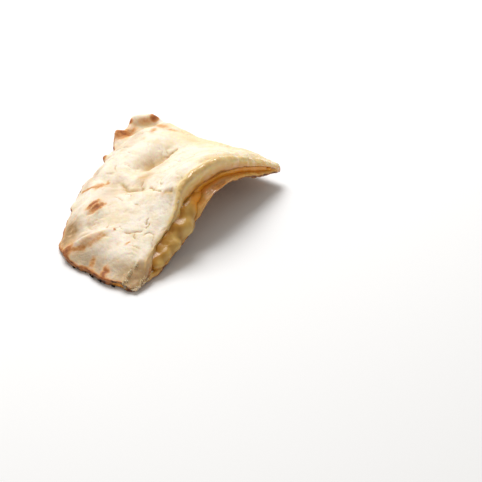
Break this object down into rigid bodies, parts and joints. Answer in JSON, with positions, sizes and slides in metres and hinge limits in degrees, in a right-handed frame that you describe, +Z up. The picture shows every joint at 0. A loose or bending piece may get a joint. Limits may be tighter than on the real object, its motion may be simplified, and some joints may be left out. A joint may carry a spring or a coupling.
{
  "type": "cut piece of cheese naan",
  "caption": "Wedge of puffed flat bread with a melted cheese filling that shows along both cuts, arched along its front cut.",
  "frame": {"origin": "centre of the bounding box in plan, on the surface that the piece rests on", "axes": "+X towards the apex, which was the middle of the whole bread; +Y towards the back tip of the rim; +Z up"},
  "size_m": [0.1216, 0.1536, 0.0369],
  "materials": {
    "baked_dough": "matte baked dough, pale with browned spots, toasted along the rim",
    "melted_cheese": "glossy melted cheese"
  },
  "bodies": {
    "root": {"naan_bread": "baked_dough", "cheese_filling": "melted_cheese"}
  },
  "joints": []
}
